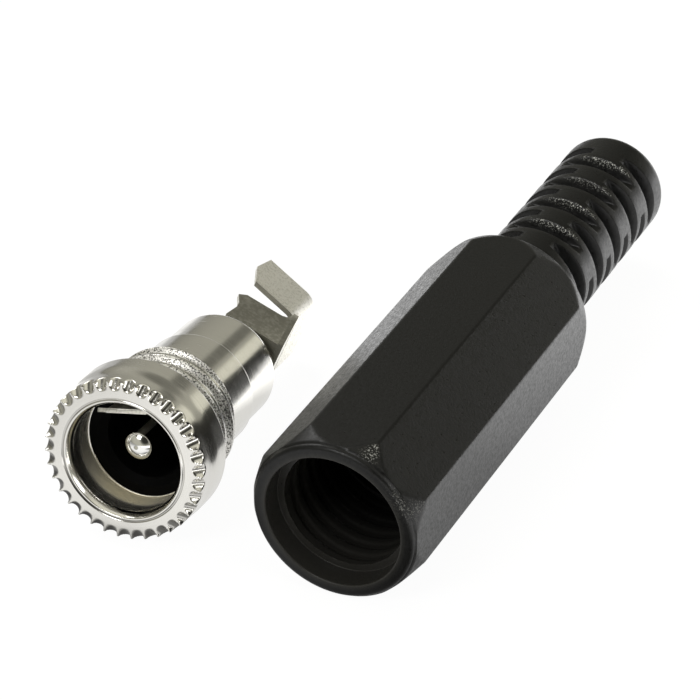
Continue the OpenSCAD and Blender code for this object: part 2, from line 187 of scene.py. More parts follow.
# Most of a noise lies between these two
noiseSpan = (0.3, 0.7)


def noise(tree, vector, detail=2.0, **more):
    links = {"Vector": vector, "Scale": 1.0, "Detail": detail, **more}
    return addNode(tree, "ShaderNodeTexNoise", links).outputs["Fac"]


def remap(tree, value, low, high, toLow, toHigh, **settings):
    links = {"Value": value, "From Min": low, "From Max": high, "To Min": toLow, "To Max": toHigh}
    return addNode(tree, "ShaderNodeMapRange", links, **settings).outputs["Result"]


def maths(tree, operation, *values, **settings):
    links = dict(enumerate(values))
    return addNode(tree, "ShaderNodeMath", links, operation=operation, **settings).outputs[0]


def times(tree, a, b):
    return maths(tree, "MULTIPLY", a, b)


def vectorMaths(tree, operation, *values):
    links = dict(enumerate(values))
    return addNode(tree, "ShaderNodeVectorMath", links, operation=operation).outputs["Value"]


def axesOf(tree, vector):
    return addNode(tree, "ShaderNodeSeparateXYZ", {"Vector": vector}).outputs


def mixColour(tree, share, first, second):
    # The first colour where the share is 0, the second where it is 1
    links = {"Fac": share, "Color1": first, "Color2": second}
    return addNode(tree, "ShaderNodeMixRGB", links).outputs["Color"]


def mark(tree, name):
    # A number that the mesh carries at each of its points
    return addNode(tree, "ShaderNodeAttribute", attribute_name=name).outputs["Fac"]


def bump(tree, height, relief, normal=None):
    # Relief of a given strength and depth in millimetres on top of an earlier one
    strength, deep = relief
    links = {"Height": height, "Strength": strength, "Distance": deep * mm}
    if normal is not None:
        links["Normal"] = normal
    return addNode(tree, "ShaderNodeBump", links).outputs["Normal"]


# Nickel plate on turned brass: a nearly neutral mirror, dulled by the rings that the lathe left,
# and crystalline, sparkling and dark-specked over the thread, where the plating took a rough ground
nickelLooks = {
    "colour": "#e9e7e1", "soil": "#2e2c27", "brass": "#f1e7c6",
    "roughness": 0.14, "ringRough": (-0.05, 0.08), "smudgeRough": 0.08, "threadRough": 0.28,
    "frostRough": 0.5, "frostMetal": 0.3, "speckShare": 0.9,
    "ringSize": 0.06, "ringRun": 4.0, "pitSize": 0.14, "smudgeSize": 2.2, "threadGrain": 0.10,
    "smudgeSpan": (0.45, 0.7), "speckSpan": (0.52, 0.57),
    "threadFrom": 3.85, "threadFull": 4.0, "threadFade": 8.62, "threadTo": 8.72,
    "ringRelief": (0.10, 0.01), "pitRelief": (0.12, 0.01), "threadRelief": (0.35, 0.03),
    "frostRelief": (0.3, 0.03),
}


def nickelPlate():
    n = nickelLooks
    material, tree, shader = newMaterial("nickel_plate_turned", n["colour"], {"Metallic": 1.0})
    axes = axesOf(tree, jackCoords(tree))
    flat = addNode(tree, "ShaderNodeCombineXYZ", {"X": axes["X"], "Y": axes["Y"]}).outputs[0]
    outward = vectorMaths(tree, "LENGTH", flat)
    # Rings: noise that is quick along the axis and outwards, slow round the axis
    links = {
        "Vector": jackCoords(tree, (n["ringRun"], n["ringRun"], n["ringSize"])),
        "W": times(tree, outward, 1 / n["ringSize"]), "Scale": 1.0, "Detail": 3.0,
    }
    rings = addNode(tree, "ShaderNodeTexNoise", links, noise_dimensions="4D").outputs["Fac"]
    pits = noise(tree, objectCoords(tree, n["pitSize"]))
    # The thread's rough share is 1 between its two ends along the axis, and 0 on the rubbed crests
    begin = remap(tree, axes["Z"], n["threadFrom"], n["threadFull"], 0.0, 1.0)
    end = remap(tree, axes["Z"], n["threadFade"], n["threadTo"], 1.0, 0.0)
    hollow = remap(tree, mark(tree, "crest"), 0.0, 1.0, 1.0, 0.0)
    share = times(tree, times(tree, begin, end), hollow)
    grain = noise(tree, objectCoords(tree, n["threadGrain"]), 3.0)
    # Roughness grows with the rings, with smudges, in the thread and where the mesh is frosted
    frost = mark(tree, "frost")
    smooth, dull = n["ringRough"]
    rough = remap(tree, rings, *noiseSpan, n["roughness"] + smooth, n["roughness"] + dull)
    smudge = noise(tree, objectCoords(tree, n["smudgeSize"]), 3.0)
    smudge = remap(tree, smudge, *n["smudgeSpan"], 0.0, 1.0)
    for value, name in ((smudge, "smudgeRough"), (share, "threadRough"), (frost, "frostRough")):
        rough = maths(tree, "MULTIPLY_ADD", value, n[name], rough)
    tree.links.new(rough, shader.inputs["Roughness"])
    metal = remap(tree, frost, 0.0, 1.0, 1.0, n["frostMetal"])
    tree.links.new(metal, shader.inputs["Metallic"])
    relief = bump(tree, rings, n["ringRelief"])
    relief = bump(tree, pits, n["pitRelief"], relief)
    relief = bump(tree, times(tree, share, grain), n["threadRelief"], relief)
    relief = bump(tree, times(tree, frost, grain), n["frostRelief"], relief)
    tree.links.new(relief, shader.inputs["Normal"])
    # Dark specks in the thread, painted shade where the mesh says so, and a brassy tone under the
    # frost
    specks = noise(tree, objectCoords(tree, n["threadGrain"]), 1.0)
    specks = remap(tree, specks, *n["speckSpan"], 0.0, n["speckShare"])
    dark = maths(tree, "MAXIMUM", times(tree, share, specks), mark(tree, "soil"))
    paint = mixColour(tree, dark, linearColour(n["colour"]), linearColour(n["soil"]))
    paint = mixColour(tree, frost, paint, linearColour(n["brass"]))
    tree.links.new(paint, shader.inputs["Base Color"])
    return material


# Nickel plate on stamped sheet: a dull pearly grey with a fine orange peel; sheared edges that face
# the mouth and the top of the front ear are painted dark grey, a painted shade
sheetLooks = {
    "colour": "#f6f4ec", "paintedSheetShade": "#918f85", "hollow": "#dedcd2",
    "roughness": 0.50, "peelRough": (-0.06, 0.08), "peelRelief": (0.5, 0.025),
    "peelSize": 0.16, "patchSize": 0.35, "patchShare": (0.85, 1.05),
    "peelSpan": (0.48, 0.62), "patchSpan": (0.38, 0.62),
    # Depths along the jack between which the ear's painted shade ends and that of sheared edges
    # begins, and how squarely a face has to look up or to the front
    "earShadeEnd": (21.2, 22.2), "shearStart": (15.0, 16.0), "upSpan": (0.6, 0.85),
    "frontSpan": (0.75, 0.9),
}


def nickelSheet():
    n = sheetLooks
    material, tree, shader = newMaterial("nickel_plate_on_sheet", n["colour"], {"Metallic": 1.0})
    peel = noise(tree, objectCoords(tree, n["peelSize"]), 3.0)
    smooth, dull = n["peelRough"]
    rough = remap(tree, peel, *noiseSpan, n["roughness"] + smooth, n["roughness"] + dull)
    tree.links.new(rough, shader.inputs["Roughness"])
    tree.links.new(bump(tree, peel, n["peelRelief"]), shader.inputs["Normal"])
    # Painted shade on faces that look up in front of a place along the jack's axis, and behind
    # another place on faces that look along it to the front
    normal = addNode(tree, "ShaderNodeNewGeometry").outputs["Normal"]
    upward = axesOf(tree, normal)["Z"]
    along = axesOf(tree, jackCoords(tree))["Z"]
    ahead, here = layDown(np.array([[0.0, 0.0, -1.0], [0.0, 0.0, 0.0]]), jackPlace) / mm
    facing = vectorMaths(tree, "DOT_PRODUCT", normal, ahead - here)
    ear = times(
        tree, remap(tree, along, *n["earShadeEnd"], 1.0, 0.0),
        remap(tree, upward, *n["upSpan"], 0.0, 1.0),
    )
    sheared = times(
        tree, remap(tree, along, *n["shearStart"], 0.0, 1.0),
        remap(tree, facing, *n["frontSpan"], 0.0, 1.0),
    )
    peeled = remap(tree, peel, *n["peelSpan"], 0.0, 1.0)
    paint = mixColour(tree, peeled, linearColour(n["colour"]), linearColour(n["hollow"]))
    patchy = noise(tree, objectCoords(tree, n["patchSize"]), 4.0)
    patchy = remap(tree, patchy, *n["patchSpan"], *n["patchShare"])
    # Painted shade: the front ear's top and the sheared edges are darkened
    dark = maths(tree, "MAXIMUM", times(tree, ear, patchy), sheared, use_clamp=True)
    paint = mixColour(tree, dark, paint, linearColour(n["paintedSheetShade"]))
    tree.links.new(paint, shader.inputs["Base Color"])
    return material


# Polished nickel of the pin's nose: a clear mirror with a few hair scratches
polishedLooks = {
    "colour": "#f7f6f2", "roughness": 0.09, "scratchSize": (1.6, 0.10, 1.0), "relief": (0.12, 0.01),
}


def nickelPolished():
    n = polishedLooks
    values = {"Metallic": 1.0, "Roughness": n["roughness"]}
    material, tree, shader = newMaterial("nickel_plate_polished", n["colour"], values)
    scratches = noise(tree, jackCoords(tree, n["scratchSize"]))
    tree.links.new(bump(tree, scratches, n["relief"]), shader.inputs["Normal"])
    return material


# Black moulded plastic with a spark-eroded grain: dead dark from above, a grey speckled sheen where
# the light grazes it, pale crumbs where an edge is worn or cut, and painted glints on the slots'
# walls
coverLooks = {
    "colour": "#0c0c0b", "pale": "#dcdcd6", "dust": "#302f2c", "sheen": 0.32, "roughness": 0.36,
    "grainRough": (-0.10, 0.14), "relief": (0.45, 0.03), "grain": 0.24, "crumbGlintSize": 0.10,
    "crumbGlintSpan": (0.54, 0.64),
}


def mouldedBlack():
    c = coverLooks
    values = {"Specular IOR Level": c["sheen"]}
    material, tree, shader = newMaterial("black_moulded_plastic_grained", c["colour"], values)
    grain = noise(tree, objectCoords(tree, c["grain"]), 4.0, Roughness=0.65)
    smooth, dull = c["grainRough"]
    rough = remap(tree, grain, *noiseSpan, c["roughness"] + smooth, c["roughness"] + dull)
    tree.links.new(rough, shader.inputs["Roughness"])
    tree.links.new(bump(tree, grain, c["relief"]), shader.inputs["Normal"])
    # Crumbs and painted glints: the peaks of a fine noise, where the mesh marks wear or a painted
    # glint
    worn = maths(tree, "POWER", mark(tree, "worn"), 2.0)
    crumbsAndGlints = noise(tree, objectCoords(tree, c["crumbGlintSize"]))
    crumbsAndGlints = times(tree, worn, remap(tree, crumbsAndGlints, *c["crumbGlintSpan"], 0.0, 1.0))
    paint = mixColour(tree, crumbsAndGlints, linearColour(c["colour"]), linearColour(c["pale"]))
    # The inside of the mouth is painted a lighter grey: painted light in its shade
    paint = mixColour(tree, mark(tree, "dust"), paint, linearColour(c["dust"]))
    tree.links.new(paint, shader.inputs["Base Color"])
    return material


# Black moulded insulator: smooth and so deep in the shell that it swallows the light
socketLooks = {"colour": "#060606", "roughness": 0.6, "sheen": 0.05}


def socketBlack():
    n = socketLooks
    values = {"Roughness": n["roughness"], "Specular IOR Level": n["sheen"]}
    return newMaterial("black_moulded_insulator", n["colour"], values)[0]


# Vulcanised fibre washer: dull brown board
boardLooks = {"colour": "#3a2a1e", "roughness": 0.8}


def fibreBoard():
    n = boardLooks
    return newMaterial("brown_fibre_washer", n["colour"], {"Roughness": n["roughness"]})[0]


print("materials")
turnedNickel = nickelPlate()
sheetNickel = nickelSheet()
polishedNickel = nickelPolished()
coverBlack = mouldedBlack()
socketMoulding = socketBlack()
washerBoard = fibreBoard()

# The shell in millimetres and degrees, with depths from its front ring
shellSizes = {
    "mouthR": 4.3, "mouthBreak": 0.024, "grooveR": 4.5, "grooveW": 0.2, "grooveDeep": 0.06,
    "teeth": 35, "notchTurn": 94.7, "notchStart": 5.125, "notchLen": 0.62, "notchR": 0.46,
    "frontR": 5.86, "frontBreak": 0.075, "widenFrom": 1.1, "widenTo": 2.5,
    "collarR": 5.962, "collarEnd": 3.8, "edge": 0.12,
    "threadR": 4.9, "threadDeep": 0.5, "pitch": 1.4, "threadEnd": 8.7, "threadTurn": 20.0,
    "threadIn": (0.05, 0.45), "threadOut": 0.3, "flank": (0.06, 0.42), "rubbed": (0.41, 0.48),
    "barrelR": 4.3, "stepAt": 12.4, "stepRound": 0.18, "tailR": 4.05,
    "length": 17.2, "rimR": 0.7, "rimOpen": 3.33, "rimFront": 16.25,
    "boreR": 3.7, "boreRound": 0.12, "undercutR": 4.15, "undercutEnd": 3.8, "undercutRound": 0.05,
    "lipR": 4.05, "lipDepth": 0.68, "lipRound": 0.04, "crimpAt": 3.28,
    # How far the crimp stands in, at which depth behind its front edge, and how frosted it is
    "crimp": (
        (0.0, 0.10, 0.0), (0.07, 0.09, 0.0), (0.08, 0.05, 0.0),
        (0.06, 0.01, 0.2), (0.02, 0.0, 0.5), (0.0, -0.02, 1.0),
    ),
    # Depths in front of the crimp and how frosted the undercut is there
    "frost": ((2.7, 1.0), (2.4, 1.0), (2.0, 0.9), (1.7, 0.2), (1.4, 0.1)),
    # Angle round which the painted shade is strongest, with its spread in groove and notches, and
    # the frost's
    "soilTurn": 215, "grooveSpread": 50, "notchSpread": 65, "frostTurn": 192, "frostSpread": 48,
    "sharp": 40,
}


def shellRows():
    # Half section once round, from the mouth over the outside to the rear and back by the bore.
    # Each row is radius, depth, thread share, painted shade and frost; rows close to an edge keep
    # it crisp.
    s = shellSizes
    near = 0.02
    rows = []

    def span(section, thread=0.0, soil=0.0, frost=0.0):
        extra = np.zeros((len(section), 3))
        extra[:, 0], extra[:, 1], extra[:, 2] = thread, soil, frost
        rows.append(np.hstack([section, extra]))

    def face(depth, *radii):
        return line(*[(radius, depth) for radius in radii])

    def tube(radius, *depths):
        return line(*[(radius, depth) for depth in depths])

    # Flat front ring with a fine turned groove
    mouth, groove, half, deep = s["mouthR"], s["grooveR"], s["grooveW"] / 2, s["grooveDeep"]
    span(line((mouth - near, s["mouthBreak"])))
    span(face(0, mouth + near, mouth + 2 * near, groove - half - near))
    hollow = line(
        (groove - half, 0), (groove - half / 2, deep * 0.8), (groove, deep),
        (groove + half / 2, deep * 0.8), (groove + half, 0),
    )
    # The groove's hollow is painted dark: painted shade
    span(hollow, soil=np.array([0.2, 1, 1, 1, 0.2]))
    span(face(0, groove + half + near, 4.8, 5.0, 5.08))
    # Front edge, close rows where the notches are cut
    front, cut = s["frontR"], s["frontBreak"]
    span(face(0, *np.linspace(s["notchStart"], front - cut, 11)))
    span(tube(front, *np.linspace(cut, s["notchLen"] + near, 11), 0.72, 0.9))
    # Collar, which widens a little along the way
    collar, edge, end = s["collarR"], s["edge"], s["collarEnd"]
    along = np.linspace(s["widenFrom"], s["widenTo"], 12)
    widened = front + (collar - front) * smoothStep(s["widenFrom"], s["widenTo"], along)
    span(np.stack([widened, along], axis=-1))
    span(tube(collar, 3.0, end - edge - near))
    span(bend(collar - edge, end - edge, edge, 0, 90))
    root = s["threadR"] - s["threadDeep"]
    span(line((collar - edge - near, end), (root + 0.1, end), (root, end + 0.03)))
    # Thread, whose share fades at both ends
    last = s["threadEnd"]
    begin, full = s["threadIn"]
    depth = np.linspace(end + 0.08, last, 90)
    share = smoothStep(end + begin, end + full, depth)
    share = share * (1 - smoothStep(last - s["threadOut"], last, depth))
    span(tube(root, *depth), share)
    # Barrel with its small step, and the rolled rim
    barrel, step, k = s["barrelR"], s["stepAt"], s["stepRound"]
    tail, total, rim = s["tailR"], s["length"], s["rimR"]
    span(tube(barrel, last + 0.05, last + 0.05 + near, 10.5, step - k - near))
    span(bend(barrel - k, step - k, k, 0, 90))
    span(line((tail + near, step)))
    span(tube(tail, step + near, step + 2 * near, 14.5, total - rim - near))
    span(bend(tail - rim, total - rim, rim, 0, 90, 12))
    # Rear opening and bore
    bore, k, cut = s["boreR"], s["boreRound"], s["undercutEnd"]
    span(tube(s["rimOpen"], total - 0.03, s["rimFront"]))
    span(tube(bore, s["rimFront"], 14, 8, cut + 0.2))
    span(bend(bore + k, cut + k, k, 180, 270))
    # Undercut with a fine crimp in front of the insulator's flange
    under, lip, k = s["undercutR"], s["lipR"], s["undercutRound"]
    span(face(cut, bore + s["boreRound"] + near, under - k - near))
    span(bend(under - k, cut - k, k, 90, 0))
    span(tube(under, cut - k - near))
    for standIn, behind, frost in s["crimp"]:
        span(line((under - standIn, s["crimpAt"] + behind)), frost=frost)
    for depth, frost in s["frost"]:
        span(tube(under, depth), frost=frost)
    # Lip, which widens to the mouth with the square of the way that is left
    lipEnd, k = s["lipDepth"], s["lipRound"]
    span(tube(under, lipEnd + under - lip + 0.05), frost=0.1)
    span(line((under - near, lipEnd + under - lip), (lip + 0.03, lipEnd + 0.03)))
    span(bend(lip + k, lipEnd - near, k, 120, 180, 3))
    way = np.linspace(0.95, 0.08, 9)
    span(np.stack([lip + (mouth - lip) * (1 - way) ** 2, way * (lipEnd - near)], axis=-1))
    return np.concatenate(rows)


def shellSkin():
    # Notches push each point that lies inside a round cutter straight out of it; the cutters slope
    # away from the axis. The thread adds a ridge wherever depth over pitch minus turns round the
    # axis is near a whole number.
    s = shellSizes
    offsets = np.array(
        [-0.5, -0.455, -0.42, -0.34, -0.22, -0.1, 0.0, 0.1, 0.22, 0.34, 0.42, 0.455]
    )
    step = 360.0 / s["teeth"]
    fromNotch = np.radians(np.tile(offsets * step, s["teeth"]))[None, :]
    notches = s["notchTurn"] + np.repeat(np.arange(s["teeth"]) * step, offsets.size)
    middle = np.radians(notches)[None, :]
    degrees = np.degrees(middle + fromNotch)
    baseR, depth, share, soil, frost = (column[:, None] for column in shellRows().T)
    turn = (depth - s["threadEnd"]) / s["pitch"] - (degrees - s["threadTurn"]) / 360
    fromRoot = 0.5 - np.abs(turn - np.round(turn))
    radius = baseR + share * s["threadDeep"] * smoothStep(*s["flank"], fromRoot)
    crest = share * smoothStep(*s["rubbed"], fromRoot)
    # Across and along the cutter's own plane
    start, reach, cutter = s["notchStart"], s["notchLen"], s["notchR"]
    slope = math.atan2(s["frontR"] - start, reach)
    aside = radius * np.sin(fromNotch)
    outward = radius * np.cos(fromNotch)
    lift = (outward - start) * math.cos(slope) - depth * math.sin(slope) - cutter
    floor = -np.sqrt(np.maximum(cutter ** 2 - aside ** 2, 0))
    inside = (depth < reach + 0.1) & (radius > start - 0.02) & (np.abs(aside) < cutter)
    push = np.where(inside, np.maximum(lift - floor, 0), 0)
    outward = outward - push * math.cos(slope)
    angle = middle + np.arctan2(aside, outward)
    points = polarPoints(np.hypot(outward, aside), depth + push * math.sin(slope), angle)
    # Painted shade in the groove and in the notches, strongest at the lower left
    fromLower = turnFrom(degrees, s["soilTurn"])
    soil = soil * (0.25 + 0.65 * bell(fromLower, 0, s["grooveSpread"]))
    # Notches near the lower left are painted dark: painted shade
    notchShade = 0.8 * smoothStep(0.02, 0.14, push) * bell(fromLower, 0, s["notchSpread"], 4)
    soil = np.maximum(soil, notchShade)
    # Frost shows low in the mouth
    fromLow = turnFrom(degrees, s["frostTurn"])
    frost = frost * (0.15 + 0.85 * bell(fromLow, 0, s["frostSpread"]))
    place = layDown(points, jackPlace)
    obj = gridMesh("shell_turned", place, crest=crest, soil=soil, frost=frost)
    shadeByAngle(obj, s["sharp"])
    return obj


print("shell")
shell = shellSkin()
finish(shell, turnedNickel, "jack_and_cover")
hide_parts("shell")

# The cover in millimetres and degrees, with depths from its front rim
coverSizes = {
    "flats": 12.0, "cornerR": 0.35, "frontR": 5.9, "frontRun": 2.2, "rearRun": 1.9,
    "rearInset": 0.05, "coneOver": 0.1, "coneSoft": 0.06, "rimRound": 0.35, "bodyEnd": 29.4,
    "length": 49.5, "reliefR": 4.12, "reliefRound": 1.0,
    "slotRings": 5, "firstSlot": 33.05, "slotPitch": 3.38, "slotTurn": 6.0,
    "slotW": 1.45, "slotFloorW": 0.65, "slotDeep": 1.1, "slotSoft": 0.18,
    "mouthR": 4.94, "mouthRound": 0.12, "mouthEnd": 1.8, "stepRound": 0.05,
    "crestR": 4.44, "threadDeep": 0.12, "pitch": 1.4, "threadEnd": 9.5,
    "chamberR": 4.25, "chamberEnd": 24.0, "cableR": 2.25, "sharp": 32,
    # Rows along the body: first depth, last depth and count
    "bodyRows": ((0.42, 2.6, 20), (4.0, 26.0, 12), (27.2, 29.3, 18)),
    # Share, angle and width of the moulding flash and of the scuffs on two corners
    "flash": (0.5, 58, 16), "scuffs": ((0.75, 22.5, 6), (0.4, 67.5, 9)),
    # Slot rings with painted glints on them and their share, the glints' angle and width
    "glintRings": {1: 1.0, 3: 1.0, 5: 0.75, 7: 1.0}, "glintTurn": 14, "glintWidth": 34,
    # Share, waves round the axis and start of the ragged edge in the mouth
    "ragged": ((0.012, 7, 0), (0.01, 19, 1), (0.008, 43, 2)),
}


def coverAngles():
    # Closer together where the octagon's corners are rounded
    flat = np.linspace(-21.2, 21.2, 25)
    corner = np.array([21.5, 21.8, 22.1, 22.4, 22.6, 22.9, 23.2, 23.5])
    sector = np.concatenate([flat, corner])
    return np.radians((sector[None, :] + 45.0 * np.arange(8)[:, None]).reshape(-1))


def octagonRadius(angle):
    # Distance to the flat, or to the arc that rounds the corner, in each direction
    half, rho = coverSizes["flats"] / 2, coverSizes["cornerR"]
    eighth = math.radians(22.5)
    local = (np.degrees(angle) + 22.5) % 45.0 - 22.5
    flat = half / np.cos(np.radians(local))
    off = np.radians(22.5 - np.abs(local))
    centre = (half - rho) / math.cos(eighth)
    aside = centre * np.sin(off)
    arc = centre * np.cos(off) + np.sqrt(np.maximum(rho ** 2 - aside ** 2, 0))
    tangent = eighth - math.atan((half - rho) * math.tan(eighth) / half)
    return np.where(off < tangent, np.minimum(arc, flat), flat)


def coverSkin():
    # Rows run from the mouth's edge over the outside to the cable end and back through the inside.
    # Outside, the octagon is cut off by a cone at each end; slots lower the radius to a flat floor.
    c = coverSizes
    angle = coverAngles()
    degrees = np.degrees(angle)
    ones = np.ones((1, angle.size))
    parts = []

    def put(radius, depth, worn=0.0):
        depth = np.asarray(depth, float)
        depth = depth if depth.ndim == 2 else np.atleast_1d(depth)[:, None] * ones
        same = np.ones_like(depth)
        parts.append(np.stack([radius * same, depth, worn * same]))

    def turned(section, worn=0.0):
        put(section[:, :1], section[:, 1], worn)

    # Rounded rim, with moulding flash at its upper right
    mouth, front, k = c["mouthR"], c["frontR"], c["rimRound"]
    share, middle, width = c["flash"]
    flash = share * bell(degrees, middle, width)[None, :]
    turned(bend(mouth + c["mouthRound"], c["mouthRound"], c["mouthRound"], 180, 270, 5))
    turned(line((mouth + 0.2, 0), (5.4, 0), (front - k - 0.03, 0)), flash * 0.5)
    turned(bend(front - k, k, k, -90, -8, 7), flash)
    # Body with its run-outs, each cone from its end's radius to a little over the corners,
    # grained where the front one cuts them
    bodyEnd = c["bodyEnd"]
    coneTop = c["flats"] / 2 / math.cos(math.radians(22.5)) + c["coneOver"]
    rear = c["flats"] / 2 - c["rearInset"]
    depth = np.concatenate([np.linspace(*rows) for rows in c["bodyRows"]])
    frontCone = front + (coneTop - front) * depth / c["frontRun"]
    rearCone = rear + (coneTop - rear) * (bodyEnd - depth) / c["rearRun"]
    cone = np.minimum(frontCone, rearCone)[:, None] * ones
    octagon = octagonRadius(angle)[None, :] * np.ones_like(cone)
    scuff = sum(share * bell(degrees, middle, width) for share, middle, width in c["scuffs"])
    worn = smoothStep(-0.04, 0.06, octagon - cone) * scuff[None, :] * (depth < 3)[:, None]
    put(softMin(octagon, cone, c["coneSoft"]), depth, worn)
    # Rear face
    top = c["reliefR"]
    turned(line((5.88, bodyEnd - 0.01), (5.85, bodyEnd), (5.0, bodyEnd), (top + 0.1, bodyEnd)))
    # Strain relief: rings of three slots, each ring a sixth of a turn from the next. Rows follow
    # the slots' edges; inside, the wall leans out from the flat floor. Painted glints lie on walls
    # that face the mouth, near the top, as painted highlights.
    floorR, foot = top - c["slotDeep"], c["slotFloorW"] / 2
    lean = (c["slotW"] / 2 - foot) / c["slotDeep"]
    crumbsAndGlints = bell(turnFrom(degrees, c["glintTurn"]), 0, c["glintWidth"], 4)[None, :]
    put(top, np.linspace(bodyEnd + 0.06, c["firstSlot"] - 1.0, 4))
    for ring in range(2 * c["slotRings"] - 1):
        centre = c["firstSlot"] + ring * c["slotPitch"] / 2
        middle = c["slotTurn"] + 60 * ((ring + 1) % 2)
        across = np.cos(np.radians((degrees - middle + 60) % 120 - 60))[None, :]
        edge = foot + np.maximum(lean * (top * across - floorR), 0.08)
        side = np.concatenate([
            np.array([0.4 * foot, foot - 0.02])[:, None] * ones,
            foot + (edge - foot) * np.array([0.1, 0.5, 0.85, 0.96])[:, None],
            edge + np.array([0.03, 0.1])[:, None],
        ])
        offset = np.concatenate([-side[::-1], side])
        height = floorR + np.maximum(np.abs(offset) - foot, 0) / lean
        radius = softMin(top + 0 * offset, height / np.maximum(across, 0.05), c["slotSoft"])
        # Painted highlights: pale glints on the slots' walls that face the mouth, near the top
        wall = smoothStep(floorR + 0.4, floorR + 0.75, height) * (offset > 0)
        wall = wall * (height < top + 0.05)
        put(radius, centre + offset, c["glintRings"].get(ring, 0.0) * wall * crumbsAndGlints)
    # Rounded cable end
    total, k = c["length"], c["reliefRound"]
    put(top, np.linspace(total - k - 0.5, total - k, 3))
    turned(bend(top - k, total - k, k, 8, 90, 10))
    # Cable bore and chamber
    cable, chamber, last = c["cableR"], c["chamberR"], c["threadEnd"]
    turned(line(
        (cable + 0.1, total), (cable, total - 0.1), (cable, 40), (cable, c["chamberEnd"] + 2),
        (chamber, c["chamberEnd"]), (chamber, 16), (chamber, last + 0.02),
    ))
    # Thread, whose grooves fade at both ends
    crest, first = c["crestR"], c["mouthEnd"]
    depth = np.linspace(last, first + 0.12, 84)
    turn = depth[:, None] / c["pitch"] - degrees[None, :] / 360
    groove = np.clip((np.abs(turn - np.round(turn)) - 0.16) / 0.2, 0, 1)
    fade = 1 - smoothStep(last - 0.8, last, depth)
    fade = fade * smoothStep(first + 0.1, first + 0.6, depth)
    put(crest + c["threadDeep"] * groove * fade[:, None], depth)
    # The step inside the plain mouth has a ragged edge, a sum of three waves round the axis
    ragged = sum(share * np.sin(waves * angle + start) for share, waves, start in c["ragged"])
    edge = crest - 0.02 + ragged[None, :]
    put(edge, first + 0.06, 0.7)
    put(edge, first, 1.0)
    k = c["stepRound"]
    turned(line((crest + 0.10, first), (mouth - k - 0.01, first)))
    turned(bend(mouth - k, first - k, k, 90, 0, 4))
    turned(line((mouth, first - 0.08), (mouth, 0.6), (mouth, 0.16)))
    radius, depth, worn = np.concatenate(parts, axis=1)
    points = polarPoints(radius, depth, angle[None, :])
    # Painted light inside the mouth, on all that is nearer the axis than the rim's middle
    dust = smoothStep(5.3, 4.95, radius) * smoothStep(9.0, 0.5, depth)
    obj = gridMesh("cover_moulded", layDown(points, coverPlace), worn=worn, dust=dust)
    shadeByAngle(obj, c["sharp"])
    return obj


print("cover")
cover = coverSkin()
finish(cover, coverBlack, "jack_and_cover")
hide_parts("cover")

# The small pieces: width of their softened edges and how near points are merged in millimetres, the
# angle in degrees up to which faces are joined, and the one over which an edge counts as sharp
smallSizes = {
    "lug": {"bevel": 0.05, "join": 1.0}, "spring": {"bevel": 0.04, "join": 0.2},
    "pin": {"bevel": 0.08, "join": 0.1}, "merge": 0.0002, "sharp": 35, "bevelRows": 2,
}


def nodeCopy(name, newName, bevel, join):
    # A merged copy of a CAD node with its flat faces joined and its edges softened
    n = smallSizes
    obj = addObject(newName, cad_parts[name].data.copy())
    work = bmesh.new()
    work.from_mesh(obj.data)
    bmesh.ops.remove_doubles(work, verts=work.verts, dist=n["merge"] * mm)
    bmesh.ops.dissolve_limit(
        work, angle_limit=math.radians(join), verts=work.verts, edges=work.edges
    )
    work.to_mesh(obj.data)
    work.free()
    soften = obj.modifiers.new("edges", "BEVEL")
    soften.width = bevel * mm
    soften.segments = n["bevelRows"]
    soften.limit_method = "ANGLE"
    soften.angle_limit = math.radians(n["sharp"])
    shadeByAngle(obj, n["sharp"])
    return obj


print("small pieces")
lug = nodeCopy("sleeve_lug", "lug_sheet", **smallSizes["lug"])
finish(lug, sheetNickel, "jack_and_cover")
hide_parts("sleeve_lug")
spring = nodeCopy("contact_spring", "spring_leaf", **smallSizes["spring"])
finish(spring, sheetNickel, "contact")
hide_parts("contact_spring")
pin = nodeCopy("centre_pin", "pin_turned", **smallSizes["pin"])
finish(pin, polishedNickel, "jack_and_cover")
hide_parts("centre_pin")
for name, material in (("insulator", socketMoulding), ("rear_washer", washerBoard)):
    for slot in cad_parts[name].material_slots:
        slot.material = material

print("studio")
studio = {
    "lens": 173.1, "camera": (87.160, -184.978, 136.780), "target": (-4.150, 3.432, 0.0),
    "sensor": 36, "clip": 0.01, "paper": "#f2f2f2",
    "floorShare": 0.9, "floorReach": 3.0, "floorDrop": 2e-5, "glow": 1.06, "mirrored": 0.87,
    # Axis, two places in millimetres between which the mirrored paper changes, and its levels there
    "fades": [
        ("Y", -36.0, -26.0, 1.2, 1.0), ("Y", -5.5, 0.0, 1.0, 1.35), ("Y", 2.0, 14.0, 1.0, 1.35),
        ("X", -46.0, -14.0, 0.3, 1.0), ("X", 14.0, 26.0, 1.0, 2.2),
    ],
    # Middle, reach of the full change and of its edge in millimetres, and level
    "patches": [
        (-13.5, -25.0, 2.0, 6.0, 0.15), (-8.0, -25.0, 1.5, 5.0, 0.3), (-3.0, -26.0, 2.0, 5.0, 0.2),
        (-32.0, -24.0, 8.0, 16.0, 0.35), (15.0, -34.0, 7.0, 15.5, 0.05),
        (-11.0, 18.0, 8.0, 16.0, 1.4), (-23.0, -12.0, 6.0, 11.0, 2.4), (0.0, 4.0, 5.0, 10.0, 1.4),
    ],
}


